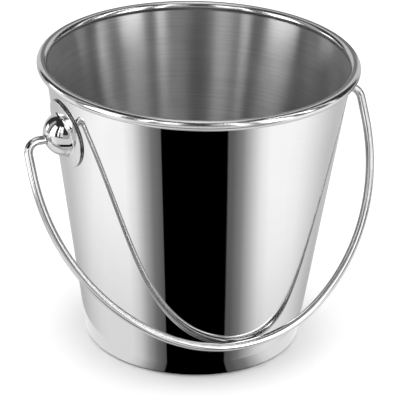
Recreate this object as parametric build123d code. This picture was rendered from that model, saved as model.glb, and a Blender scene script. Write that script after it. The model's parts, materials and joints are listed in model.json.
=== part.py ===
from build123d import *
import math
import os

# Milk pail, about two quarts. Millimetres, +Z up. The origin is the centre of the base on
# the floor, the two ears stand at -X and +X, and the bail hangs down on the -Y side.

# ---- pail body: one deep drawn sheet with a curled rim -------------------------------
RIM_DIA = 165.0          # outside of the curled rim
HEIGHT = 154.0           # floor to the top of the rim
BASE_DIA = 112.6         # the tapered wall carried down to the floor
MOUTH_DIA = 157.8        # the tapered wall carried up to the top of the rim
SHEET = 0.8
BASE_CORNER = 3.0        # outside radius between base and wall
CURL_DIA = 5.4           # outside of the hollow curl
CURL_END = -113.0        # degrees round the curl where the sheet stops, under the rim
CURL_OVERLAP = 30.0      # degrees the curl runs down into the wall before the two are one

# ---- ears: pressed steel, a round flange with a hollow dome --------------------------
EAR_SHEET = 1.3
FLANGE_DIA = 35.6
DOME_RISE = 10.7         # outside of the dome above the wall, along the wall's normal
DOME_BASE_DIA = 22.6     # where the dome meets the flange
DOME_FILLET = 1.6

# ---- bail: one round wire, its ends upset into heads inside the domes ----------------
WIRE_DIA = 4.5
PIVOT_Z = 123.1          # height of the axis the bail swings about
HOLE_DIA = 5.2
BAIL_REACH = 121.1       # axis to the middle of the grip, wire centre
GRIP_RADIUS = 83.0
GRIP_HALF_SWEEP = 32.5   # degrees either side of the middle
SIDE_RADIUS = 109.2
BEND_RADIUS = 6.5
HEAD_DIA = 7.4
HEAD_THICK = 1.4
HEAD_EDGE = 0.4          # rounding of the head's two rims
HEAD_FACE_X = 81.6       # outer face of each head
REST_GAP = 0.3           # wire to wall where the hanging bail leans

OUT = "parts"


def wall_radius(z):
    """Outside radius of the tapered wall at a height."""
    return (BASE_DIA + (MOUTH_DIA - BASE_DIA) * z / HEIGHT) / 2


TAPER = math.atan2((MOUTH_DIA - BASE_DIA) / 2, HEIGHT)


def make_body():
    """The sheet in section, turned once round the axis."""
    curl_r = CURL_DIA / 2
    curl_c = (RIM_DIA / 2 - curl_r, HEIGHT - curl_r)
    thick = SHEET / math.cos(TAPER)
    top = curl_c[1]
    outer = [(0, 0), (wall_radius(0), 0), (wall_radius(top), top)]
    floor_r = wall_radius(SHEET) - thick
    inner = [(wall_radius(top) - thick, top), (floor_r, SHEET), (0, SHEET)]
    with BuildSketch(Plane.XZ) as section:
        with BuildLine():
            Polyline(*outer, *inner, close=True)
        make_face()
        corner_out = section.vertices().sort_by_distance(outer[1])[0]
        fillet(corner_out, BASE_CORNER)
        corner_in = section.vertices().sort_by_distance((floor_r, SHEET))[0]
        fillet(corner_in, BASE_CORNER - SHEET)
        with BuildSketch(Plane.XZ, mode=Mode.PRIVATE) as curl:
            sweep = 180 + math.degrees(TAPER) + CURL_OVERLAP - CURL_END
            with BuildLine():
                big = CenterArc(curl_c, curl_r, CURL_END, sweep)
                small = CenterArc(curl_c, curl_r - SHEET, CURL_END, sweep)
                Line(big @ 0, small @ 0)
                Line(big @ 1, small @ 1)
            make_face()
        add(curl.sketch)
    return revolve(section.sketch, Axis.Z)


def cone_solid(extra):
    """Everything inside the wall's outer face moved out by a distance."""
    d = extra / math.cos(TAPER)
    return Solid.make_cone(wall_radius(0) + d, wall_radius(HEIGHT) + d, HEIGHT)


def on_outside(p, ball_c, ball_r):
    """True where the dome's ball meets the flange's outer face."""
    rise = (math.hypot(p.X, p.Y) - wall_radius(p.Z)) * math.cos(TAPER)
    return abs((p - ball_c).length - ball_r) < 0.01 and rise > EAR_SHEET / 2


def make_ear():
    """The ear at +X: flange laid on the wall, spherical dome, hole on the swing axis."""
    ear_z = PIVOT_Z + DOME_RISE * math.sin(TAPER)
    foot = Vector(wall_radius(ear_z), 0, ear_z)
    normal = Vector(math.cos(TAPER), 0, -math.sin(TAPER))
    ear_axis = Plane(origin=foot, x_dir=(0, 1, 0), z_dir=normal)
    cap = DOME_RISE - EAR_SHEET
    ball_r = ((DOME_BASE_DIA / 2) ** 2 + cap**2) / (2 * cap)
    ball_c = foot + normal * (DOME_RISE - ball_r)
    disc = ear_axis * Cylinder(FLANGE_DIA / 2, 2 * DOME_RISE)
    flange = disc & cone_solid(EAR_SHEET)
    ear = flange + Pos(*ball_c) * Sphere(ball_r)
    ear -= cone_solid(0)
    root = [e for e in ear.edges() if on_outside(e @ 0.3, ball_c, ball_r)]
    ear = fillet(root, DOME_FILLET)
    ear -= Pos(*ball_c) * Sphere(ball_r - EAR_SHEET)
    ear -= Pos(foot.X, 0, PIVOT_Z) * Rot(0, 90, 0) * Cylinder(HOLE_DIA / 2, 4 * DOME_RISE)
    return ear


def lean_angle():
    """Bail angle from straight down at which the grip just clears the wall."""
    need = (WIRE_DIA / 2 + REST_GAP) / math.cos(TAPER) + wall_radius(PIVOT_Z)
    return math.asin(need * math.cos(TAPER) / BAIL_REACH) - TAPER


def make_bail():
    """The wire drawn flat, axis along X and grip at -Z, then leant onto the pail."""
    a = math.radians(GRIP_HALF_SWEEP)
    end = Vector(0, 0, -BAIL_REACH)
    p1 = end + Vector(GRIP_RADIUS * math.sin(a), 0, GRIP_RADIUS * (1 - math.cos(a)))
    half = p1.X + SIDE_RADIUS * (1 - math.sin(a))
    p2 = Vector(half, 0, p1.Z + SIDE_RADIUS * math.cos(a))
    p3 = Vector(half, 0, -BEND_RADIUS)
    p4 = Vector(half - BEND_RADIUS, 0, 0)
    p5 = Vector(HEAD_FACE_X - HEAD_THICK / 2, 0, 0)
    side_c = Vector(half - SIDE_RADIUS, 0, p2.Z)
    b = a + (math.pi / 2 - a) / 2
    mid2 = side_c + Vector(math.sin(b), 0, -math.cos(b)) * SIDE_RADIUS
    bend_c = Vector(p4.X, 0, p3.Z)
    mid3 = bend_c + Vector(1, 0, 1).normalized() * BEND_RADIUS
    mid1 = end + Vector(GRIP_RADIUS * math.sin(a / 2), 0, GRIP_RADIUS * (1 - math.cos(a / 2)))
    right = [
        Edge.make_three_point_arc(end, mid1, p1),
        Edge.make_three_point_arc(p1, mid2, p2),
        Edge.make_line(p2, p3),
        Edge.make_three_point_arc(p3, mid3, p4),
        Edge.make_line(p4, p5),
    ]
    path = Wire(right)
    disc = Plane(origin=end, z_dir=(1, 0, 0)) * Circle(WIRE_DIA / 2)
    half_wire = sweep(disc, path=path, transition=Transition.RIGHT)
    head_x = HEAD_FACE_X - HEAD_THICK / 2
    head = Pos(head_x, 0, 0) * Rot(0, 90, 0) * Cylinder(HEAD_DIA / 2, HEAD_THICK)
    head = fillet(head.edges(), HEAD_EDGE)
    half_wire += head
    bail = half_wire + mirror(half_wire, about=Plane.YZ)
    lean = math.degrees(lean_angle())
    return Pos(0, 0, PIVOT_Z) * Rot(-lean, 0, 0) * bail


os.makedirs(OUT, exist_ok=True)
ear_right = make_ear()
made = {
    "pail_body": make_body(),
    "ear_left": mirror(ear_right, about=Plane.YZ),
    "ear_right": ear_right,
    "bail": make_bail(),
}
for name, shape in made.items():
    solids = shape.solids()
    print(name, "solids", len(solids), "volume %.0f" % solids[0].volume)
    export_step(solids[0], os.path.join(OUT, name + ".step"))
print("lean %.3f degrees" % math.degrees(lean_angle()))
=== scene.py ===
# %% [markdown]
# # A small milk pail in polished steel
#
# A two-quart pail is one of the plainest things a press shop makes: a disc of stainless
# sheet is drawn into a tapered cup, its edge is curled over, two domed ears are welded on
# and a wire bail is sprung into them. Plain shapes leave nowhere to hide, so this lesson
# makes each surface as an exact curve and spends its effort on steel: how it is rubbed,
# what it mirrors, and how to light it.

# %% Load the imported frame
import json
import math
import bpy
import numpy as np
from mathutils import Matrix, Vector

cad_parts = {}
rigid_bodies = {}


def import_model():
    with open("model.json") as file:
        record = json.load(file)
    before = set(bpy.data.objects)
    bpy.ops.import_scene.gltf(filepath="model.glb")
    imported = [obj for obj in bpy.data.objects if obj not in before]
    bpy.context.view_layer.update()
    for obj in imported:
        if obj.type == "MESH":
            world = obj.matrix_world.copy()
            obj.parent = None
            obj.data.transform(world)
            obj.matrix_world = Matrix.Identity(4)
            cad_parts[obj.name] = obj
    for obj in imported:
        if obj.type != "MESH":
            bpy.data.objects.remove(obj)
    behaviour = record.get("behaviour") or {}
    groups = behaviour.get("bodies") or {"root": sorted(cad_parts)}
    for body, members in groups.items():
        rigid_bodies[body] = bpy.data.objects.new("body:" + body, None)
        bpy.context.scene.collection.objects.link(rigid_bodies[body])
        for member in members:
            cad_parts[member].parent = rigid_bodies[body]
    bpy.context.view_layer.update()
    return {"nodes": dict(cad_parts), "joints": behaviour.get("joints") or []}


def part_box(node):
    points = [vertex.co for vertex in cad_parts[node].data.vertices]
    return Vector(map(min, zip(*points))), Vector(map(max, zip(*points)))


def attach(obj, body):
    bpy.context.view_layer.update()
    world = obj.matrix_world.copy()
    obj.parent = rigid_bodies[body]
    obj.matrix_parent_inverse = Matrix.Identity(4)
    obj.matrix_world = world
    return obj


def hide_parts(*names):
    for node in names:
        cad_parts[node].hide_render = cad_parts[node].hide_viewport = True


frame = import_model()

for node in sorted(frame["nodes"]):
    low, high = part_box(node)
    print(node, "spans", [round(1000 * (h - l), 1) for l, h in zip(low, high)], "mm")

# %% [markdown]
# ## Sizes
#
# The frame gives the outer sizes: the rim, the height and the axis that the bail turns
# about. The rest are a maker's own sizes, in metres, written once here and used everywhere
# below. The taper is worked out from them.

# %% Sizes
MM = 0.001
body_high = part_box("pail_body")[1]
RIM_RADIUS = body_high.x
HEIGHT = body_high.z
PIVOT_Z = frame["joints"][0]["pos_m"][2]

BASE_RADIUS = 56.3 * MM          # the tapered wall carried down to the floor
MOUTH_RADIUS = 78.9 * MM         # the tapered wall carried up to the top of the rim
SHEET = 0.8 * MM
BASE_CORNER = 3.0 * MM
CURL_RADIUS = 2.7 * MM
EAR_SHEET = 1.3 * MM
FLANGE_RADIUS = 17.8 * MM
DOME_RISE = 10.7 * MM
DOME_BASE_RADIUS = 11.3 * MM
DOME_FILLET = 1.6 * MM
HOLE_RADIUS = 2.6 * MM
WIRE_RADIUS = 2.25 * MM
BAIL_REACH = 121.1 * MM
GRIP_RADIUS = 83.0 * MM
GRIP_HALF_SWEEP = math.radians(32.5)
SIDE_RADIUS = 109.2 * MM
BEND_RADIUS = 6.5 * MM
HEAD_RADIUS = 3.7 * MM
HEAD_THICK = 1.4 * MM
HEAD_FACE_X = 81.6 * MM
HEAD_EDGE = 0.4 * MM
REST_GAP = 0.3 * MM

TAPER = math.atan2(MOUTH_RADIUS - BASE_RADIUS, HEIGHT)
print("taper %.2f degrees, pivot %.1f mm up" % (math.degrees(TAPER), PIVOT_Z / MM))


def wall_radius(z):
    """Outside radius of the wall at a height: it grows in a straight line with z."""
    return BASE_RADIUS + (MOUTH_RADIUS - BASE_RADIUS) * z / HEIGHT


# %% [markdown]
# ## Drawing outlines
#
# Every piece here is an outline carried round an axis or along a path. An outline is a list
# of straight runs and arcs, the same parts that a template would have. Two small helpers
# make them as arrays of points.

# %% Runs and arcs
def run(start, end, count, hold=0.0):
    """Points on a straight line: start plus an even share of the way to end.

    hold adds a point that far from each end, so that smooth shading stays flat between them.
    """
    start, end = np.array(start, float), np.array(end, float)
    share = np.linspace(0, 1, count)
    if hold:
        near = hold / np.linalg.norm(end - start)
        share = np.sort(np.concatenate([share, [near, 1 - near]]))
    return start + share[:, None] * (end - start)


def arc(centre, radius, start, end, count):
    """Points on a circle: the centre plus radius times (cos, sin) of an even sweep in degrees."""
    turn = np.radians(np.linspace(start, end, count))
    return np.array(centre) + radius * np.stack([np.cos(turn), np.sin(turn)], axis=1)


def outline(*stretches):
    """Joins stretches end to end and drops each point that repeats the one before it."""
    points = np.concatenate(stretches)
    gaps = np.linalg.norm(np.diff(points, axis=0), axis=1)
    return points[np.concatenate([[True], gaps > 1e-7])]


print("a quarter arc of 5 points:", arc((0, 0), 1, 0, 90, 5).round(2).tolist())

# %% [markdown]
# ## From a grid to a mesh
#
# A surface of two parameters is a table of points: rows along the outline, columns round
# the axis. Neighbouring cells share corners, so the faces are only arithmetic on row and
# column numbers. A row can close on the first one, and a grid can end in a pole, where a fan
# of triangles meets one point. The signed volume tells whether the faces look outwards.

# %% Build a closed mesh from a grid
def grid_faces(rows, columns, wrap_rows):
    """Quads (r, c), (r, c+1), (r+1, c+1), (r+1, c), with columns always closed on themselves."""
    r = np.arange(rows if wrap_rows else rows - 1)[:, None]
    c = np.arange(columns)[None, :]
    here, there = r * columns, ((r + 1) % rows) * columns
    right = (c + 1) % columns
    corners = [here + c, here + right, there + right, there + c]
    return np.stack([np.broadcast_to(k, (len(r), columns)) for k in corners], axis=-1).reshape(-1, 4)


def grid_uvs(rows, columns, wrap_rows):
    """A UV square for each quad: u is the share of the way round, v the share along the rows."""
    count = rows if wrap_rows else rows - 1
    v = (np.arange(count) / count)[:, None, None]
    u = (np.arange(columns) / columns)[None, :, None]
    du = np.array([0, 1, 1, 0]) / columns
    dv = np.array([0, 0, 1, 1]) / count
    return np.stack(np.broadcast_arrays(u + du, v + dv), axis=-1).reshape(-1, 2)


def signed_volume(points, quads):
    """A sixth of the sum of a . (b x c) over the triangles: positive if they face outwards."""
    a, b, c, d = (points[quads[:, k]] for k in range(4))
    volume = np.einsum("ij,ij->i", a, np.cross(b, c)) + np.einsum("ij,ij->i", a, np.cross(c, d))
    return volume.sum() / 6


def surface(name, grid, wrap_rows=False, poles=None):
    """A smooth closed mesh from a (rows, columns, 3) grid, with a pole point at each end if given."""
    rows, columns = grid.shape[:2]
    points = grid.reshape(-1, 3)
    quads = grid_faces(rows, columns, wrap_rows)
    uvs = grid_uvs(rows, columns, wrap_rows)
    fans = np.empty((0, 3), int)
    if poles is not None:
        c = np.arange(columns)
        first, last = len(points), len(points) + 1
        nxt = (c + 1) % columns
        start_fan = np.stack([np.full(columns, first), nxt, c], axis=1)
        end_row = (rows - 1) * columns
        end_fan = np.stack([np.full(columns, last), end_row + c, end_row + nxt], axis=1)
        fans = np.concatenate([start_fan, end_fan])
        points = np.concatenate([points, np.array(poles, float)])
    inside_out = signed_volume(points, quads) < 0
    if inside_out:
        quads, fans = quads[:, ::-1], fans[:, ::-1]
        uvs = uvs.reshape(-1, 4, 2)[:, ::-1].reshape(-1, 2)
    mesh = bpy.data.meshes.new(name)
    mesh.from_pydata(points.tolist(), [], quads.tolist() + fans.tolist())
    layer = mesh.uv_layers.new(name="UVMap")
    fan_uvs = np.tile([0.5, 0.5], (fans.size, 1))
    layer.data.foreach_set("uv", np.concatenate([uvs, fan_uvs]).astype(np.float32).ravel())
    mesh.polygons.foreach_set("use_smooth", np.ones(len(mesh.polygons), bool))
    mesh.validate()
    piece = bpy.data.objects.new(name, mesh)
    bpy.context.scene.collection.objects.link(piece)
    print(name, "has", len(points), "points")
    return piece


def spin(points, columns):
    """Carries an outline of (radius, height) points round Z: (r cos t, r sin t, z)."""
    turn = np.linspace(0, 2 * math.pi, columns, endpoint=False)
    r, z = points[:, 0][:, None], points[:, 1][:, None]
    return np.stack(np.broadcast_arrays(r * np.cos(turn), r * np.sin(turn), z), axis=-1)


# %% [markdown]
# ## The drawn shell
#
# The pail is a single sheet 0.8 mm thick, so its section is one closed loop: out along the
# underside, up the wall, round the inside of the curl, back round the outside of it, and
# down the inner wall to the middle of the floor. The curl is a hollow bead: the sheet turns
# outwards and stops just under the rim. Spinning the loop gives the whole shell, inner wall
# and outer wall at once, with its real thickness.

# %% Section of the shell
CURL_END = -113.0                # degrees round the curl where the sheet stops
THROAT = 1.4 * MM                # soft bend where the inner wall runs into the curl
CURL_POINTS = 64                 # points round the outside of the curl
POLE_RING = 4.0 * MM             # radius of the last ring before the middle of the floor
HOLD = 0.15 * MM                 # keeps the shading of a long straight wall flat up to its ends
COLUMNS = 400
slope = math.degrees(TAPER)
curl_centre = (RIM_RADIUS - CURL_RADIUS, HEIGHT - CURL_RADIUS)
curl_inner = CURL_RADIUS - SHEET


def on_curl_circle(radius, angle):
    """The point at an angle on a circle about the curl's centre: centre + radius (cos a, sin a)."""
    return arc(curl_centre, radius, angle, angle, 1)[0]


def meet_curl(radius, inwards):
    """The angle round the curl, in degrees, of a circle's point on the wall's line moved inwards.

    The line lies at a distance d from the curl's centre, so the angle from its normal is acos(d / r).
    """
    distance = (curl_centre[0] - wall_radius(curl_centre[1])) * math.cos(TAPER) + inwards
    return 180 - slope + math.degrees(math.acos(distance / radius))


def shell_outline():
    """The sheet's section as (radius, height) points, from the base's middle to the floor's middle."""
    reach = BASE_CORNER * math.tan((math.pi / 2 - TAPER) / 2)
    corner = (BASE_RADIUS - reach, BASE_CORNER)
    inner_r = BASE_CORNER - SHEET
    out_angle = meet_curl(curl_inner, 0)
    in_angle = meet_curl(CURL_RADIUS + THROAT, SHEET + THROAT)
    inside_curl = arc(curl_centre, curl_inner, out_angle, CURL_END, 44)
    end_centre = on_curl_circle(curl_inner + SHEET / 2, CURL_END)
    end = arc(end_centre, SHEET / 2, CURL_END + 180, CURL_END + 360, 7)
    outside_curl = arc(curl_centre, CURL_RADIUS, CURL_END, in_angle, CURL_POINTS)
    throat_centre = on_curl_circle(CURL_RADIUS + THROAT, in_angle)
    throat = arc(throat_centre, THROAT, in_angle - 180, -slope, 8)
    low_corner_out = arc(corner, BASE_CORNER, -90, -slope, 12)
    low_corner_in = arc(corner, inner_r, -slope, -90, 9)
    underside = run((POLE_RING, 0), low_corner_out[0], 10)
    wall_out = run(low_corner_out[-1], inside_curl[0], 22, hold=HOLD)
    wall_in = run(throat[-1], low_corner_in[0], 22, hold=HOLD)
    inside_floor = run(low_corner_in[-1], (POLE_RING, SHEET), 10)
    rows = outline(underside, low_corner_out, wall_out, inside_curl, end, outside_curl)
    return outline(rows, throat, wall_in, low_corner_in, inside_floor), len(rows)


shell_rows, polished_rows = shell_outline()
pail_shell = surface("pail_shell", spin(shell_rows, COLUMNS), poles=[(0, 0, 0), (0, 0, SHEET)])
print("shell outline:", len(shell_rows), "points,", polished_rows, "of them on the polished side")

# %% [markdown]
# ## The ears
#
# Each ear is a pressed disc: a round flange that lies on the tapered wall and a hollow dome
# that the wire's end turns in. Its section is again a loop, from the hole at the top of the
# dome, down the outside, round the flange's edge and back up the inside. The dome stays a
# true ball, but the flange has to follow the wall, so the grid is placed twice, once flat
# and once wrapped round the cone, and the two are blended between dome and flange.

# %% Section of an ear
EAR_Z = PIVOT_Z + DOME_RISE * math.sin(TAPER)
EDGE = 0.28 * MM                 # rounding of the flange's rim and of the hole
cap = DOME_RISE - EAR_SHEET
ball = (DOME_BASE_RADIUS ** 2 + cap ** 2) / (2 * cap)
ball_height = DOME_RISE - ball
root_height = EAR_SHEET + DOME_FILLET
root_radius = math.sqrt((ball + DOME_FILLET) ** 2 - (root_height - ball_height) ** 2)
print("the dome is part of a ball of %.1f mm radius" % (ball / MM))


def ear_outline():
    """The ear's section as (radius, height above the wall) points, a closed loop."""
    root = math.degrees(math.atan2(root_height - ball_height, root_radius))
    hole_out = math.degrees(math.acos((HOLE_RADIUS + EDGE) / ball))
    hole_in = math.degrees(math.acos((HOLE_RADIUS + EDGE) / (ball - EAR_SHEET)))
    lip_low = ball_height + math.sqrt((ball - EAR_SHEET) ** 2 - HOLE_RADIUS ** 2) + EDGE / 2
    lip_high = ball_height + math.sqrt(ball ** 2 - HOLE_RADIUS ** 2) - EDGE
    dome_out = arc((0, ball_height), ball, hole_out, root, 34)
    fillet_out = arc((root_radius, root_height), DOME_FILLET, 180 + root, 270, 10)
    rim_top = arc((FLANGE_RADIUS - EDGE, EAR_SHEET - EDGE), EDGE, 90, 0, 6)
    rim_low = arc((FLANGE_RADIUS - EDGE / 2, EDGE / 2), EDGE / 2, 0, -90, 4)
    fillet_in = arc((root_radius, root_height), DOME_FILLET + EAR_SHEET, 270, 180 + root, 10)
    dome_in = arc((0, ball_height), ball - EAR_SHEET, root, hole_in, 26)
    lip = run((HOLE_RADIUS, lip_low), (HOLE_RADIUS, lip_high), 3)
    flange_top = run(fillet_out[-1], rim_top[0], 9, hold=0.1 * MM)
    flange_low = run(rim_low[-1], fillet_in[0], 9)
    return outline(dome_out, fillet_out, flange_top, rim_top, rim_low, flange_low,
                   fillet_in, dome_in, lip)


# %% [markdown]
# The flange is spot welded to the wall in four places, and each weld leaves a very shallow
# round dent. The dents are pressed into the grid itself, so that light catches them.

# %% Dents and the ear's grid
WELD_DEPTH = 0.09 * MM
WELD_RADIUS = 1.3 * MM
EAR_COLUMNS = 144


def weld_dents(r, turn):
    """Four shallow round dents in the flange, each of depth times exp(-(d / size)^4)."""
    depth = 0.0
    ring = (root_radius + FLANGE_RADIUS) / 2
    x, y = r * np.cos(turn), r * np.sin(turn)
    for quarter in np.radians([45, 135, 225, 315]):
        away = np.hypot(x - ring * math.cos(quarter), y - ring * math.sin(quarter))
        depth = depth + WELD_DEPTH * np.exp(-(away / WELD_RADIUS) ** 4)
    return depth


def ear_grid(side):
    """The section turned about the ear's own normal, flat at the dome and wrapped at the flange.

    side is +1 for the ear at +X and -1 for the one at -X.
    """
    rows = ear_outline()
    turn = np.linspace(0, 2 * math.pi, EAR_COLUMNS, endpoint=False)[None, :]
    r, h = rows[:, 0][:, None], rows[:, 1][:, None]
    h = h - weld_dents(r, turn) * (h > EAR_SHEET / 2)
    across, up = r * np.cos(turn), r * np.sin(turn)
    foot = wall_radius(EAR_Z)
    flat = np.stack([foot + up * math.sin(TAPER) + h * math.cos(TAPER),
                     across + 0 * h,
                     EAR_Z + up * math.cos(TAPER) - h * math.sin(TAPER)], axis=-1)
    height = EAR_Z + up * math.cos(TAPER)
    out = wall_radius(height) + h * math.cos(TAPER)
    bend = across / foot
    wrapped = np.stack([out * np.cos(bend), out * np.sin(bend), height - h * math.sin(TAPER)], axis=-1)
    share = np.clip((r - 0.55 * root_radius) / (0.45 * root_radius), 0, 1)
    share = (share * share * (3 - 2 * share) + 0 * turn)[..., None]
    return ((1 - share) * flat + share * wrapped) * np.array([side, 1, 1])


ear_right = surface("ear_pressing_right", ear_grid(1), wrap_rows=True)
ear_left = surface("ear_pressing_left", ear_grid(-1), wrap_rows=True)

# %% [markdown]
# ## The bail
#
# One round wire, bent flat: a wide arc for the grip, a flatter arc down each side, a tight
# bend, and a short straight end that goes through the hole and is hammered into a head. A
# tube along a flat path is easy to work out, because the path's own normal and the plane's
# normal are always square to each other. The tube's radius is a second list beside the path,
# so the heads are only places where that radius grows.

# %% Path of the wire
def bail_path():
    """Half of the wire's centre line, as (x, reach) points from the middle of the grip to the end."""
    sweep = math.degrees(GRIP_HALF_SWEEP)
    grip = arc((0, BAIL_REACH - GRIP_RADIUS), GRIP_RADIUS, 90, 90 - sweep, 60)
    side_centre = grip[-1] - SIDE_RADIUS * np.array([math.sin(GRIP_HALF_SWEEP), math.cos(GRIP_HALF_SWEEP)])
    side = arc(side_centre, SIDE_RADIUS, 90 - sweep, 0, 80)
    corner = (side[-1][0] - BEND_RADIUS, BEND_RADIUS)
    bend = arc(corner, BEND_RADIUS, 0, -90, 26)
    leg = run(side[-1], bend[0], 6)
    end = run(bend[-1], (HEAD_FACE_X, 0), 8)
    return outline(grip, side, leg, bend, end)


print("half the wire's path has", len(bail_path()), "points")

# %% [markdown]
# The end of the wire is hammered into a head that cannot slip back through the hole. Its
# outline carries on from the wire's, with the distance along the axis first and the radius
# second, and closes on the axis.

# %% The upset head
def head_section():
    """The upset head as (x, radius) points: a disc with rounded rims that closes on the axis."""
    back = HEAD_FACE_X - HEAD_THICK
    rim_height = HEAD_RADIUS - HEAD_EDGE
    front_rim = arc((HEAD_FACE_X - HEAD_EDGE, rim_height), HEAD_EDGE, 0, 90, 6)
    back_rim = arc((back + HEAD_EDGE, rim_height), HEAD_EDGE, 90, 180, 6)
    face = run(back_rim[-1], (back, HEAD_EDGE), 5)
    return outline(run((HEAD_FACE_X, WIRE_RADIUS), front_rim[0], 4), front_rim, back_rim, face)


print("the head is %.1f mm across" % (2 * HEAD_RADIUS / MM))

# %% [markdown]
# The wall stands in the way of a bail that hangs straight down, so the bail leans on it. The
# angle is worked out from the wall's slope, not tried.

# %% How far the bail leans
def lean_angle():
    """How far the hanging bail leans from straight down, so that the grip just clears the wall.

    A grip at a reach L is L sin(a) out from the axis and L cos(a) down. Square to the sloping
    wall that is L sin(a + taper), and it has to be the axis's own distance from the wall plus
    the wire's radius and the gap.
    """
    need = WIRE_RADIUS + REST_GAP + wall_radius(PIVOT_Z) * math.cos(TAPER)
    return math.asin(need / BAIL_REACH) - TAPER


print("the bail leans %.2f degrees" % math.degrees(lean_angle()))

# %% [markdown]
# Now the tube: the half path is mirrored, a head is put on each end, and at every station a
# circle of the listed radius is drawn square to the path.

# %% The tube along the path
def bail_grid(columns=36):
    """The wire's circle at each station: centre + radius (cos t * path normal + sin t * plane normal)."""
    half = bail_path()
    head = head_section()
    centres = np.concatenate([half, np.stack([head[:, 0], 0 * head[:, 0]], axis=1)])
    radii = np.concatenate([np.full(len(half), WIRE_RADIUS), head[:, 1]])
    centres = np.concatenate([(centres * [-1, 1])[::-1], centres[1:]])
    radii = np.concatenate([radii[::-1], radii[1:]])
    along = np.gradient(np.concatenate([(half * [-1, 1])[::-1], half[1:]]), axis=0)
    along /= np.linalg.norm(along, axis=1)[:, None]
    pad = len(head)
    inwards = np.tile([-1.0, 0.0], (pad, 1))
    along = np.concatenate([inwards, along, inwards])
    lean = lean_angle()
    down = np.array([0, -math.sin(lean), -math.cos(lean)])
    plane_normal = np.array([0, math.cos(lean), -math.sin(lean)])
    across = np.array([1.0, 0, 0])
    place = centres[:, :1] * across + centres[:, 1:] * down + [0, 0, PIVOT_Z]
    normal = along[:, 1:] * across - along[:, :1] * down
    turn = np.linspace(0, 2 * math.pi, columns, endpoint=False)[None, :, None]
    ring = np.cos(turn) * normal[:, None] + np.sin(turn) * plane_normal
    return place[:, None] + radii[:, None, None] * ring


wire_grid = bail_grid()
bail_wire = surface("bail_wire", wire_grid, poles=[wire_grid[0].mean(0), wire_grid[-1].mean(0)])

# %% [markdown]
# ## Which piece stands for which
#
# Each new surface takes the place of one CAD node and rides on the same body as that node;
# the table lists a finish beside each. The CAD nodes stay underneath for the physics.

# %% Ride and replace
BAIL_BODY = frame["joints"][0]["child"]
PAIL_BODY = frame["joints"][0]["parent"]
stands_for = [
    (pail_shell, PAIL_BODY, "pail_body", "polished_steel"),
    (ear_left, PAIL_BODY, "ear_left", "ear_steel"),
    (ear_right, PAIL_BODY, "ear_right", "ear_steel"),
    (bail_wire, BAIL_BODY, "bail", "wire_steel"),
]
for piece, body, node, finish in stands_for:
    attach(piece, body)
    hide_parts(node)
    print(piece.name, "stands for", node, "on body", body)

# %% [markdown]
# ## Steel
#
# Stainless steel has one colour and endless finishes. What the eye reads is the direction of
# the last rub: the outside was buffed until it mirrors, the inside was rubbed round and
# round with a coarse belt, and the wire was drawn lengthwise through a die. Each finish here
# is the same metal with its own lines: a noise squeezed along the rub drives a little of the
# roughness, a little of the colour and a very shallow bump.

# %% A small kit for node trees
def new_material(name):
    """An empty node material: returns the material, its tree and a function that adds a node."""
    material = bpy.data.materials.new(name)
    material.use_nodes = True
    tree = material.node_tree
    tree.nodes.clear()

    def add(kind, links=(), **sockets):
        node = tree.nodes.new(kind)
        for key, value in sockets.items():
            if key in node.inputs:
                node.inputs[key].default_value = value
            else:
                setattr(node, key, value)
        for source, target in links:
            tree.links.new(source, node.inputs[target])
        return node

    return material, tree, add


def maths(add, operation, *values):
    """One Math node; a value is a number or another node's output."""
    node = add("ShaderNodeMath", operation=operation)
    for k, value in enumerate(values):
        if isinstance(value, (int, float)):
            node.inputs[k].default_value = value
        else:
            node.id_data.links.new(value, node.inputs[k])
    return node.outputs[0]


def spread(add, source, low, high):
    """Maps a noise between 0.3 and 0.7 onto low to high."""
    node = add("ShaderNodeMapRange", [(source, "Value")])
    node.inputs["From Min"].default_value = 0.3
    node.inputs["From Max"].default_value = 0.7
    node.inputs["To Min"].default_value = low
    node.inputs["To Max"].default_value = high
    return node.outputs["Result"]


print("node kit ready")

# %% [markdown]
# Lines that run round the pail need a coordinate that hardly changes round it but changes
# fast up the wall and out across the floor. The direction from the axis, a point on the unit
# circle, does the first; height plus radius does the second, so the same lines turn into
# rings where the wall meets the floor.

# %% Coordinates that follow the turning
def ring_vector(add, round_rate, up_rate):
    """(cos t, sin t) times round_rate, and (height + radius) times up_rate, from Object coordinates."""
    place = add("ShaderNodeTexCoord").outputs["Object"]
    split = add("ShaderNodeSeparateXYZ", [(place, "Vector")])
    x, y, z = split.outputs
    squares = maths(add, "ADD", maths(add, "MULTIPLY", x, x), maths(add, "MULTIPLY", y, y))
    radius = maths(add, "SQRT", squares)
    safe = maths(add, "MAXIMUM", radius, 1e-5)
    ring_x = maths(add, "MULTIPLY", maths(add, "DIVIDE", x, safe), round_rate)
    ring_y = maths(add, "MULTIPLY", maths(add, "DIVIDE", y, safe), round_rate)
    climb = maths(add, "MULTIPLY", maths(add, "ADD", z, radius), up_rate)
    return add("ShaderNodeCombineXYZ", [(ring_x, "X"), (ring_y, "Y"), (climb, "Z")]).outputs[0]


def noise(add, vector, scale, detail=3.0, roughness=0.6):
    """A noise texture's value, about 0.3 to 0.7."""
    node = add("ShaderNodeTexNoise", [(vector, "Vector")], Scale=scale, Detail=detail, Roughness=roughness)
    return node.outputs[0]


print("coordinates ready")

# %% [markdown]
# ### The buffed outside
#
# A buffing wheel leaves a mirror with a ghost of its path: lines too fine to see one by one,
# and soft clouds where the wheel pressed more or less.

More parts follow.
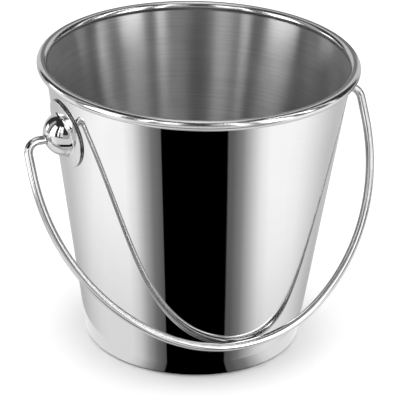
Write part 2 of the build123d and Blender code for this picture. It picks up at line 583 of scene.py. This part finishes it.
# %% Buffed steel
def finish_steel(name, colour, lines, clouds, rough, rough_lines, bump, bump_depth, anisotropic=0.0):
    """Steel whose lines and clouds move its colour, roughness and bump a little.

    lines and clouds are functions of add that give a value near 0.5.
    """
    material, tree, add = new_material(name)
    line, cloud = lines(add), clouds(add)
    both = maths(add, "MULTIPLY_ADD", cloud, 0.5, maths(add, "MULTIPLY", line, 0.5))
    dark, light = colour
    tint = add("ShaderNodeMix", [(spread(add, both, 0.0, 1.0), "Factor")], data_type="RGBA")
    tint.inputs[6].default_value = (dark, dark, dark, 1)
    tint.inputs[7].default_value = (light, light, light, 1)
    shader = add("ShaderNodeBsdfPrincipled", [(tint.outputs[2], "Base Color")], Metallic=1.0)
    lift = maths(add, "ADD", spread(add, line, 0.0, rough_lines), spread(add, cloud, *rough))
    tree.links.new(lift, shader.inputs["Roughness"])
    grain = add("ShaderNodeBump", [(line, "Height")], Strength=bump, Distance=bump_depth)
    tree.links.new(grain.outputs["Normal"], shader.inputs["Normal"])
    if anisotropic:
        shader.inputs["Anisotropic"].default_value = anisotropic
        shader.inputs["Anisotropic Rotation"].default_value = 0.25
        round_axis = add("ShaderNodeTangent", direction_type="RADIAL", axis="Z")
        tree.links.new(round_axis.outputs[0], shader.inputs["Tangent"])
    add("ShaderNodeOutputMaterial", [(shader.outputs[0], "Surface")])
    return material


def turned_lines(round_rate, up_rate, scale=1.0, detail=4.0):
    """Lines round the pail."""
    return lambda add: noise(add, ring_vector(add, round_rate, up_rate), scale, detail)


def soft_clouds(scale):
    """Slow patches in space."""
    return lambda add: noise(add, add("ShaderNodeTexCoord").outputs["Object"], scale, 2.0, 0.5)


buffed = finish_steel("buffed_steel", (0.66, 0.70), turned_lines(2.0, 1800.0), soft_clouds(24.0),
                      rough=(0.015, 0.035), rough_lines=0.01, bump=0.01, bump_depth=0.00002)
print("buffed steel ready")

# %% [markdown]
# ### The rubbed inside
#
# The belt's scratches run round the wall, so light spreads up and down but hardly sideways:
# a lamp becomes a tall soft streak. That is anisotropy, and its axis is the pail's own. The
# curl was rolled after buffing, so its shine is a little softer than the wall's.

# %% Satin steel and the curl's steel
satin = finish_steel("satin_steel", (0.47, 0.72), turned_lines(2.0, 1200.0, detail=3.0), soft_clouds(30.0),
                     rough=(0.29, 0.32), rough_lines=0.05, bump=0.015, bump_depth=0.00003, anisotropic=1.0)
curl_steel = finish_steel("curl_steel", (0.64, 0.69), turned_lines(3.0, 1800.0), soft_clouds(60.0),
                          rough=(0.13, 0.17), rough_lines=0.03, bump=0.01, bump_depth=0.00002)
print("satin and curl steel ready")

# %% [markdown]
# ### Pressed ears and drawn wire
#
# The ears keep the faint unevenness of the press. The rim of each flange is rougher, and its
# colour is painted dark: painted shade for the dark line where the ear meets the wall. The
# wire's lines run along the wire, so they are drawn in the wire's own UV square, where v runs
# along the wire and u round it.

# %% Ear, wire and edge steel
def press_lines(add):
    """A fine even grain."""
    return noise(add, add("ShaderNodeTexCoord").outputs["Object"], 900.0, 3.0)


def drawn_lines(add):
    """Noise stretched along the wire: fast in u, round it, and slow in v, along it."""
    uv = add("ShaderNodeTexCoord").outputs["UV"]
    stretched = add("ShaderNodeMapping", [(uv, "Vector")])
    stretched.inputs["Scale"].default_value = (26.0, 9.0, 1.0)
    return noise(add, stretched.outputs[0], 1.0, 4.0)


ear_steel = finish_steel("pressed_ear_steel", (0.64, 0.69), press_lines, soft_clouds(120.0),
                         rough=(0.05, 0.09), rough_lines=0.02, bump=0.04, bump_depth=0.00002)
wire_steel = finish_steel("drawn_wire_steel", (0.54, 0.64), drawn_lines, soft_clouds(90.0),
                          rough=(0.07, 0.11), rough_lines=0.05, bump=0.08, bump_depth=0.00003)
# The flange's rim: rough steel whose colour is painted dark, 0.10 to 0.17, as painted shade for the dark
# line where the ear meets the wall.
edge_painted_shade = finish_steel("cut_edge_steel", (0.10, 0.17), press_lines, soft_clouds(120.0),
                        rough=(0.30, 0.42), rough_lines=0.05, bump=0.10, bump_depth=0.00003)
print("ear, wire and edge steel ready")

# %% [markdown]
# ### Which faces get which steel
#
# A face belongs to a row of the outline, so the row's number decides its steel. The shell's
# rows are polished up to the throat, and the last of those go round the curl. On an ear, the
# rows that reach the flange's full radius are its rim, and they get the steel painted dark as
# painted shade.

# %% Give out the steels
POLISHED, SATIN, CURL = 0, 1, 2
for steel in (buffed, satin, curl_steel):
    pail_shell.data.materials.append(steel)
row_of_face = np.arange(len(shell_rows) - 1).repeat(COLUMNS)
face_steel = np.where(row_of_face < polished_rows, POLISHED, SATIN)
on_curl = (row_of_face >= polished_rows - CURL_POINTS) & (row_of_face < polished_rows)
face_steel[on_curl] = CURL
fan_steel = np.repeat([POLISHED, SATIN], COLUMNS)
face_steel = np.concatenate([face_steel, fan_steel]).astype(np.int32)
pail_shell.data.polygons.foreach_set("material_index", face_steel)

ear_radii = ear_outline()[:, 0]
# Faces on the flange's rim get the steel painted dark as painted shade.
edge_faces_painted_shade = np.minimum(ear_radii, np.roll(ear_radii, -1)) > FLANGE_RADIUS - 0.06 * EDGE
for piece in (ear_left, ear_right):
    piece.data.materials.append(ear_steel)
    piece.data.materials.append(edge_painted_shade)
    piece.data.polygons.foreach_set("material_index", edge_faces_painted_shade.repeat(EAR_COLUMNS).astype(np.int32))
bail_wire.data.materials.append(wire_steel)
print("faces of each steel on the shell:", np.bincount(face_steel).tolist())

# %% [markdown]
# ## The camera
#
# A long lens from well back keeps the ellipses of a pail calm. The camera stands a little to
# the left of the side the bail hangs on, looks down by about 26 degrees, and is tipped by a
# degree and a half.

# %% Camera
VIEW_TURN = math.radians(-27.0)
VIEW_LIFT = math.radians(25.53)
VIEW_ROLL = math.radians(1.64)
DISTANCE = 1.2755
FOCAL_LENGTH, SENSOR = 219.8, 36.0
AIM = np.array([0.0023, -0.0011, 0.0737])

back = np.array([math.sin(VIEW_TURN) * math.cos(VIEW_LIFT), -math.cos(VIEW_TURN) * math.cos(VIEW_LIFT),
                 math.sin(VIEW_LIFT)])
level = np.cross([0, 0, 1], back)
level /= np.linalg.norm(level)
upright = np.cross(back, level)
side = level * math.cos(VIEW_ROLL) + upright * math.sin(VIEW_ROLL)
upright = np.cross(back, side)
lens = bpy.data.cameras.new("camera")
lens.lens = FOCAL_LENGTH
lens.sensor_width = SENSOR
lens.clip_end = 50.0
camera = bpy.data.objects.new("camera", lens)
bpy.context.scene.collection.objects.link(camera)
pose = np.eye(4)
pose[:3, 0], pose[:3, 1], pose[:3, 2] = side, upright, back
pose[:3, 3] = AIM + DISTANCE * back
camera.matrix_world = pose.T.tolist()
bpy.context.scene.camera = camera
print("camera at", np.round(pose[:3, 3], 3).tolist())

# %% [markdown]
# ## The studio
#
# A polished pail has no look of its own: it shows the room. So the room is drawn first, as
# a large sphere that only reflections can see. Its brightness is a function of bearing, which
# is the angle round from the camera, and of lift, the angle above the horizon.
#
# Every lamp and card has soft edges, so the first helpers are smooth steps.

# %% Soft steps
def step(value, start, end):
    """A smooth rise from 0 at start to 1 at end: 3s^2 - 2s^3 of the share s."""
    s = np.clip((value - start) / (end - start), 0, 1)
    return s * s * (3 - 2 * s)


def window(value, low, high, soft):
    """1 between low and high, falling smoothly to 0 over soft on each side."""
    return step(value, low - soft, low) * (1 - step(value, high, high + soft))


def patch(bearing, lift, strength, sides, heights, soft=2.0):
    """One soft box or card: strength inside a range of bearings and lifts, falling to 0 outside."""
    return strength * window(bearing, *sides, soft) * window(lift, *heights, min(2 * soft, 3.0))


print("half way up a soft step:", float(step(0.5, 0, 1)))

# %% [markdown]
# The wall leans outwards, so from the camera it mirrors a strip of the ground only a few
# degrees high. Two numbers say where a direction shows up on the pail: how far down the
# wall, from 0 under the rim to 1 at the base, and how far to the side of the axis.

# %% Where a direction shows on the wall
UNDER_RIM, AT_BASE = -0.0394, 0.0535   # what is left over of the lift's sine at the two ends
HIGH, LOW = 145 * MM, 6 * MM           # heights of those two ends


def shown_at(bearing, lift):
    """Share of the way down the wall, and millimetres to the side, where a direction is mirrored.

    A wall normal at bearing n sends the view to bearing 2n and to a lift whose sine is
    -sin(view) - 2 sin(taper) times the normal's share of the view, for a camera far away. The
    few degrees left over come from perspective and from the sphere's own size, and say how far
    down the wall the mirrored point lies.
    """
    tip = 2 * math.sin(TAPER)
    cosine = np.cos(np.radians(bearing / 2))
    level = math.sin(VIEW_LIFT)
    facing = math.cos(VIEW_LIFT) * math.cos(TAPER) * cosine - level * math.sin(TAPER)
    middle = -level - tip * facing
    left_over = middle - np.sin(np.radians(lift))
    down = np.clip((left_over - UNDER_RIM) / (AT_BASE - UNDER_RIM), -0.3, 1.3)
    radius = (1 - down) * wall_radius(HIGH) + down * wall_radius(LOW)
    return down, radius * np.sin(np.radians(bearing / 2)) / MM


print("straight ahead, 43 degrees down, shows at", [float(v.round(2)) for v in shown_at(0.0, -43.0)])

# %% [markdown]
# The ground is a pale sweep. In front of the pail lies a black card, and on both sides of it
# the sweep brightens from grey to white and falls off again behind the pail. The card's
# edges shift a little to the right on their way down. Three grey cards stand further back:
# seen from the side, from low down, they give the wall its dark bands.

# %% Light from the sweep
SWEEP = 1.34                     # brightness of the open sweep
RAMP_SIDES = [-40, -35, -30, -25, -20, 17, 20, 25, 30, 35, 40]
RAMP_TONES = [.97, .78, .42, .19, .11, .10, .12, .24, .53, .85, 1.0]
MIRRORED_LIFTS = (-49.5, -36.5)  # the strip of ground that the wall mirrors
CARD_SIDES = (-19.4, 16.95)      # the black card's edges under the rim, in mm to the side
CARD_LIFTS = (-49.5, -37.0)
CARD_MIDDLE = -1.2
CARD_DRIFT, CARD_NARROWS = 4.1, 0.09     # mm to the right, and share, on the way down the wall
FALL_START, FALL_LENGTH = 0.23, 0.69     # where down the wall the sweep darkens
FALL_DEPTH, FALL_CURVE = 0.24, 1.6
AWAY_BEARINGS = [82, 95, 105, 115, 126, 137, 180]
AWAY_TONES = [1, .95, .85, .74, .62, .53, .42]
GREY_CARDS = [((-88, -74), (-31, -12), 9.0), ((42, 56), (-31, -12), 9.0), ((133, 147), (-23, -12), 7.0)]


def sweep_light(bearing, lift):
    """The ground below the horizon: a grey ramp each side of the black card, white further out.

    Only the few degrees that the wall mirrors carry the ramp and the card; nearer and further
    ground is plain, so the rounded bead and the domes stay light underneath.
    """
    down, side = shown_at(bearing, lift)
    side = (side - CARD_MIDDLE - CARD_DRIFT * down) / (1 - CARD_NARROWS * down) + CARD_MIDDLE
    fall = np.clip((down - FALL_START) / FALL_LENGTH, 0, 1)
    mirrored = window(lift, *MIRRORED_LIFTS, 1.5)
    plain = np.interp(np.abs(bearing), [0, 40, 70], [.66, .70, 1.0])
    tone = np.interp(side, RAMP_SIDES, RAMP_TONES) * mirrored + plain * (1 - mirrored)
    for sides, heights, soft in GREY_CARDS:
        tone = tone * (1 - patch(bearing, lift, 0.8, sides, heights, soft))
    turn_away = np.interp(np.abs(bearing) - 20 * fall, AWAY_BEARINGS, AWAY_TONES)
    card = window(side, *CARD_SIDES, 0.35) * window(lift, *CARD_LIFTS, 0.6)
    return SWEEP * tone * turn_away * (1 - FALL_DEPTH * fall ** FALL_CURVE) * (1 - card)


print("the open sweep to the right shines with", float(sweep_light(70.0, -43.0).round(2)))

# %% [markdown]
# Above the horizon the room is dark, so everything light in it is a lamp: wide soft boxes and
# narrow strips at both sides, a pale wall behind the pail and a bright ceiling. The satin
# inside draws each one out into an upright streak, and narrow strips make narrow streaks. What
# stands low is mirrored near the mouth, what stands high deeper down.

# %% Light from the room
ROOM_LIGHTS = [
    # strength, bearings, lifts, softness: the left side first, each row one box or strip
    (2.0, (-79, -54), (2, 40), 1.5),
    (5.0, (-79, -56), (0, 9), 2.0),
    (0.5, (-106, -90), (0, 48), 2.0),
    (3.0, (-119, -106), (0, 12), 2.0),
    (3.0, (-39, -34), (4, 30), 0.8),
    (5.0, (-38, -34), (30, 50), 0.8),
    (0.9, (-25, -13), (4, 26), 2.0),
    (2.2, (-27, -13), (26, 50), 2.0),
    (3.0, (28, 34), (4, 66), 0.8),
    (2.0, (28, 34), (0, 9), 0.8),
    (0.9, (12, 25), (26, 50), 2.0),
    (2.2, (45, 63), (2, 48), 1.5),
    (5.0, (47, 65), (0, 9), 1.5),
    (5.0, (81, 86), (12, 62), 1.0),
    (2.0, (102, 106), (0, 46), 1.0),
    (0.5, (-12, 25), (0, 12), 3.0),
]
DARK_ROOM = 0.04


def room_light(bearing, lift):
    """The sum of the boxes and strips, the wall behind with a dark gap in it, and the ceiling."""
    lamps = sum(patch(bearing, lift, strength, sides, heights, soft)
                for strength, sides, heights, soft in ROOM_LIGHTS)
    away = np.abs(bearing)
    behind = 0.7 * step(away, 137, 143) * (1 - patch(bearing, lift, 0.85, (163, 174), (-12, 14)))
    behind = behind * (1 - 0.7 * step(away, 160, 170) * window(lift, 4, 50, 5))
    ceiling = 1.02 * step(lift, 70, 78) * (1 - 0.35 * window(lift, 80, 84, 2))
    return DARK_ROOM + lamps + behind + ceiling


print("the room has", len(ROOM_LIGHTS), "boxes and strips")

# %% [markdown]
# The two lights meet at the horizon and are written on the sphere as one brightness per
# point. The sphere glows with it, and only reflections see that glow.

# %% The studio sphere
def studio_sphere(radius=4.0, columns=1080, rows=540):
    """A sphere about the pail's middle with one brightness per point in the attribute glow."""
    bearing = np.linspace(-180, 180, columns, endpoint=False)[None, :]
    lift = np.linspace(-89.5, 89.5, rows)[:, None]
    turn = VIEW_TURN + np.radians(bearing)
    out = radius * np.cos(np.radians(lift))
    grid = np.stack(np.broadcast_arrays(out * np.sin(turn), -out * np.cos(turn),
                                        HEIGHT / 2 + radius * np.sin(np.radians(lift))), axis=-1)
    poles = [(0, 0, HEIGHT / 2 - radius), (0, 0, HEIGHT / 2 + radius)]
    sphere = surface("studio_sphere", grid, poles=poles)
    low, high = sweep_light(bearing, lift), room_light(bearing, lift)
    above = step(lift, -6, -1)
    glow = np.concatenate([(low * (1 - above) + high * above).ravel(), [low.mean(), high.mean()]])
    layer = sphere.data.attributes.new("glow", "FLOAT", "POINT")
    layer.data.foreach_set("value", glow.astype(np.float32))
    return sphere


def for_reflections_only(piece):
    """Hides a piece from everything but mirror rays."""
    for kind in ("camera", "diffuse", "transmission", "volume_scatter", "shadow"):
        setattr(piece, "visible_" + kind, False)


studio = studio_sphere()
glow_material, _, add = new_material("studio_glow")
glow = add("ShaderNodeAttribute", attribute_name="glow")
lamp = add("ShaderNodeEmission", [(glow.outputs["Fac"], "Strength")])
add("ShaderNodeOutputMaterial", [(lamp.outputs[0], "Surface")])
glow_material.cycles.emission_sampling = "NONE"
studio.data.materials.append(glow_material)
for_reflections_only(studio)

# %% [markdown]
# Only the round corner of the base looks at the ground close by. So a small flat ring under
# it, seen by reflections alone, repeats what the wall above it mirrors. Under the base its
# glow is painted dark, a painted contact shadow, which gives the thin dark line where steel
# meets the ground.

# %% Ring under the base
RING_REACH = np.array([-9.0, -1.2, 0.2, 9.0]) * MM     # out from the wall's line at the floor
# Painted shade: the ring's glow is cut to 0.15 under the base, a painted contact shadow.
RING_PAINTED_SHADE = np.array([0.15, 0.15, 1.0, 1.0])
RING_HEIGHT = -0.1 * MM


def foot_ring(columns=720):
    """A flat ring whose glow, at an angle n round from the camera, is the sweep's at bearing 2n.

    The bearing stops at 105 degrees, so the ring stays light behind the pail.
    """
    angle = np.linspace(-180, 180, columns, endpoint=False)[None, :]
    turn = VIEW_TURN + np.radians(angle)
    reach = (BASE_RADIUS + RING_REACH)[:, None]
    grid = np.stack(np.broadcast_arrays(reach * np.sin(turn), -reach * np.cos(turn), RING_HEIGHT), axis=-1)
    ring = surface("foot_ring", grid)
    # The sweep's glow times the painted shade, darker on the inner rows under the base.
    glow = RING_PAINTED_SHADE[:, None] * sweep_light(np.clip(2 * angle, -105, 105), -45.5)
    layer = ring.data.attributes.new("glow", "FLOAT", "POINT")
    layer.data.foreach_set("value", glow.ravel().astype(np.float32))
    return ring


foot = foot_ring()
foot.data.materials.append(glow_material)
for_reflections_only(foot)

# %% [markdown]
# The floor is a pale matt sheet under an even white sky. The sky lights only what is matt,
# so the floor grows darker close under the pail and nowhere else; a ring of painted shadow
# in the sheet's colour, darker towards the base, deepens it. The floor is hidden from
# reflections, where the sphere's sweep stands for it.

# %% Paper
paper, _, add = new_material("pale_paper")
place = add("ShaderNodeTexCoord").outputs["Object"]
fibres = noise(add, place, 60.0, 2.0)
shade = add("ShaderNodeMix", [(fibres, "Factor")], data_type="RGBA")
shade.inputs[6].default_value = (0.925, 0.925, 0.925, 1)
shade.inputs[7].default_value = (0.935, 0.935, 0.935, 1)
away = add("ShaderNodeVectorMath", [(place, "Vector")], operation="LENGTH").outputs["Value"]
# Painted shadow: the sheet's colour falls to 0.89 at the base and rises to full 24 mm out.
painted_floor_shadow = add("ShaderNodeMapRange", [(away, "Value")], interpolation_type="SMOOTHSTEP")
for key, value in (("From Min", BASE_RADIUS - 2 * MM), ("From Max", BASE_RADIUS + 24 * MM),
                   ("To Min", 0.89), ("To Max", 1.0)):
    painted_floor_shadow.inputs[key].default_value = value
toned = add("ShaderNodeVectorMath", [(shade.outputs[2], 0), (painted_floor_shadow.outputs["Result"], "Scale")],
            operation="SCALE")
matt = add("ShaderNodeBsdfPrincipled", [(toned.outputs[0], "Base Color")], Roughness=1.0)
matt.inputs["Specular IOR Level"].default_value = 0.0
add("ShaderNodeOutputMaterial", [(matt.outputs[0], "Surface")])
print("paper ready")

# %% [markdown]
# The sheet reaches well past everything that the camera sees. It lies a fifth of a
# millimetre below the base, so the two never fight for the same height.

# %% Floor and sky
FLOOR_RADIUS = 12.0
FLOOR_HEIGHT = -0.2 * MM
SKY_STRENGTH = 1.42


def floor_disc(name, radius, height, points=96):
    """A flat disc: one face whose corners are even steps round a circle."""
    mesh = bpy.data.meshes.new(name)
    rim = arc((0, 0), radius, 0, 360, points + 1)[:-1]
    corners = np.concatenate([rim, np.full((points, 1), height)], axis=1)
    mesh.from_pydata(corners.tolist(), [], [list(range(points))])
    disc = bpy.data.objects.new(name, mesh)
    bpy.context.scene.collection.objects.link(disc)
    return disc


floor = floor_disc("floor", FLOOR_RADIUS, FLOOR_HEIGHT)
floor.data.materials.append(paper)
floor.visible_glossy = False

world = bpy.data.worlds.new("sky")
bpy.context.scene.world = world
world.use_nodes = True
sky = world.node_tree.nodes["Background"]
sky.inputs["Color"].default_value = (1, 1, 1, 1)
sky.inputs["Strength"].default_value = SKY_STRENGTH
bpy.context.scene.view_settings.view_transform = "Standard"
print("studio ready")
